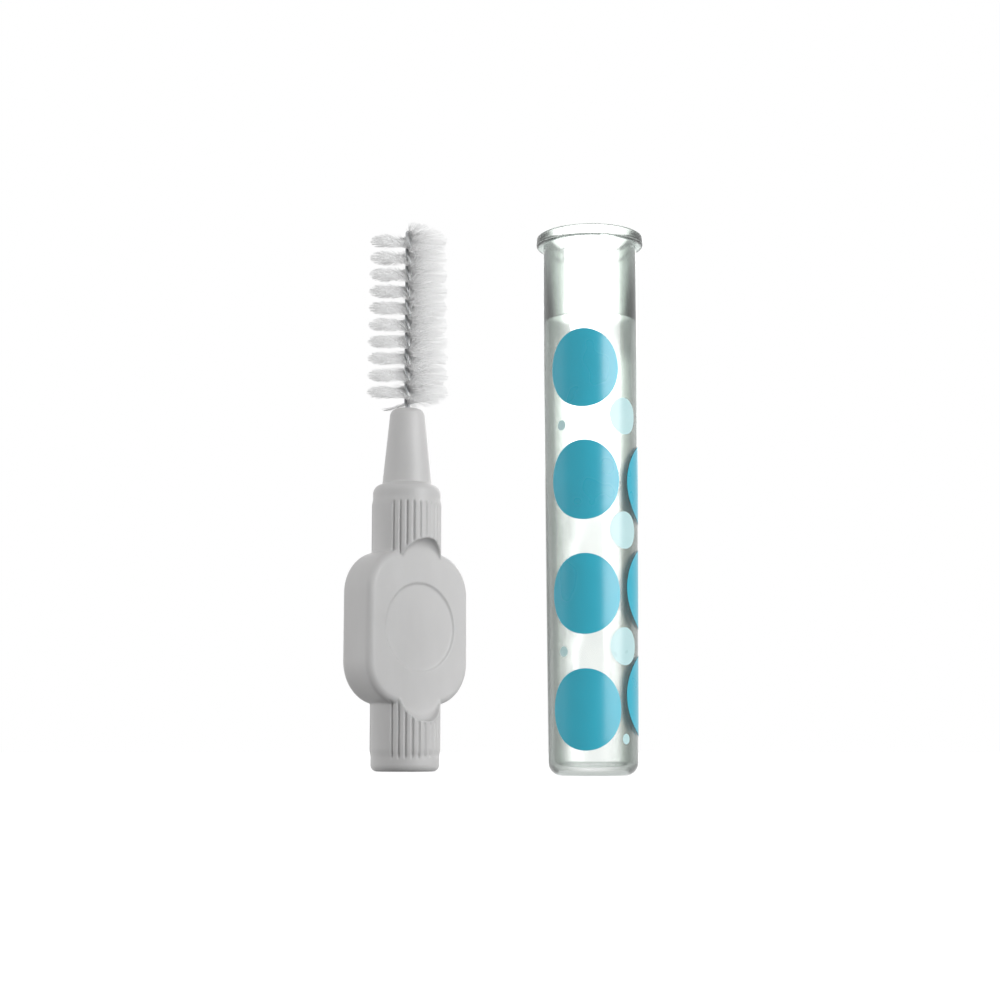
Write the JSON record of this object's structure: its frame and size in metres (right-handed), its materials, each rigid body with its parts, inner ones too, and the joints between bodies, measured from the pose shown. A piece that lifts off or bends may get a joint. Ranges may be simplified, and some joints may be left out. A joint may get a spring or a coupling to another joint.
{
  "type": "interdental brush",
  "caption": "Slim cleaning brush for the gaps between teeth: twisted wire with fine bristles on a flat grey handle, with an open clear protective tube beside it.",
  "frame": {"origin": "centre of the rear end face of the handle, which stands on the surface", "axes": "+Z along the brush from the rear end to the tip; the flat faces of the paddle look along -Y and +Y"},
  "size_m": [0.0192, 0.0429, 0.056],
  "materials": {
    "handle_plastic": "satin grey polypropylene",
    "wire_steel": "fine drawn steel wire",
    "nylon_filament": "translucent white nylon thread",
    "clear_tube": "clear glossy moulding with printed dots"
  },
  "bodies": {
    "grip": {"handle": "handle_plastic", "wire_root": "wire_steel"},
    "brush_head": {"twisted_wire": "wire_steel", "bristle_turn_1": "nylon_filament", "bristle_turn_2": "nylon_filament", "bristle_turn_3": "nylon_filament", "bristle_turn_4": "nylon_filament", "bristle_turn_5": "nylon_filament", "bristle_turn_6": "nylon_filament"},
    "cap": {"protective_tube": "clear_tube"}
  },
  "joints": [
    {"name": "neck_bend", "type": "hinge", "parent": "grip", "child": "brush_head", "pos_m": [0, 0, 0.03712], "axis": [1, 0, 0], "range_deg": [-20, 20], "stiffness_Nm_per_rad": 0.005},
    {"name": "tube_lift", "type": "slide", "parent": "grip", "child": "cap", "axis": [0, 0, 1], "range_m": [0, 0.06]}
  ]
}
